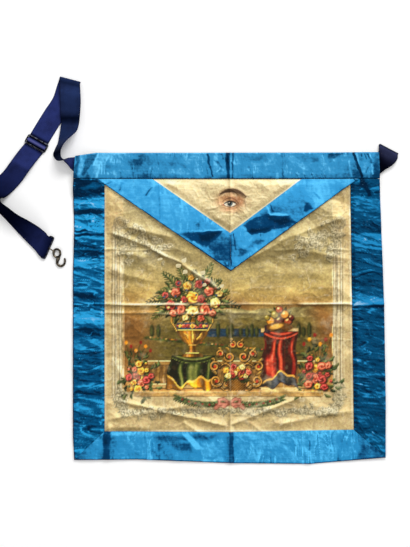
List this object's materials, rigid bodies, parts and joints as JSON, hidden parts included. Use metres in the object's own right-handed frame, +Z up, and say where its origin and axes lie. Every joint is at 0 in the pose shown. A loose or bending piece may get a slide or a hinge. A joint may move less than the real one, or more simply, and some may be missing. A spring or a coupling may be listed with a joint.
{
  "type": "fraternal apron",
  "caption": "Square cream satin apron with blue ribbon edging, a pointed flap, and a navy webbing strap with slider and snake hook, lying flat on its back with the strap spread out.",
  "frame": {"origin": "middle of the apron's underside, on the surface that it lies on", "axes": "+Z up from the surface, +Y towards the waistband, +X to the right of the apron as seen from above; the strap leaves the top left corner"},
  "size_m": [0.509, 0.4801, 0.0254],
  "materials": {
    "cream_satin": "aged cream satin with a printed picture, soft sheen",
    "blue_ribbon": "sky blue satin ribbon, bright sheen, finely creased",
    "navy_webbing": "navy elastic webbing, dull ribbed weave",
    "bronze": "dark antique bronze, worn brighter on the edges"
  },
  "bodies": {
    "root": {"panel": "cream_satin", "flap_panel": "cream_satin", "waistband": "blue_ribbon", "border_left": "blue_ribbon", "border_right": "blue_ribbon", "border_bottom": "blue_ribbon", "flap_border_left": "blue_ribbon", "flap_border_right": "blue_ribbon", "strap_long": "navy_webbing", "strap_loop": "navy_webbing", "strap_short": "navy_webbing", "slider": "bronze", "hook_loop": "bronze", "hook_link": "bronze", "snake_hook": "bronze", "catch_loop": "bronze"}
  },
  "joints": []
}
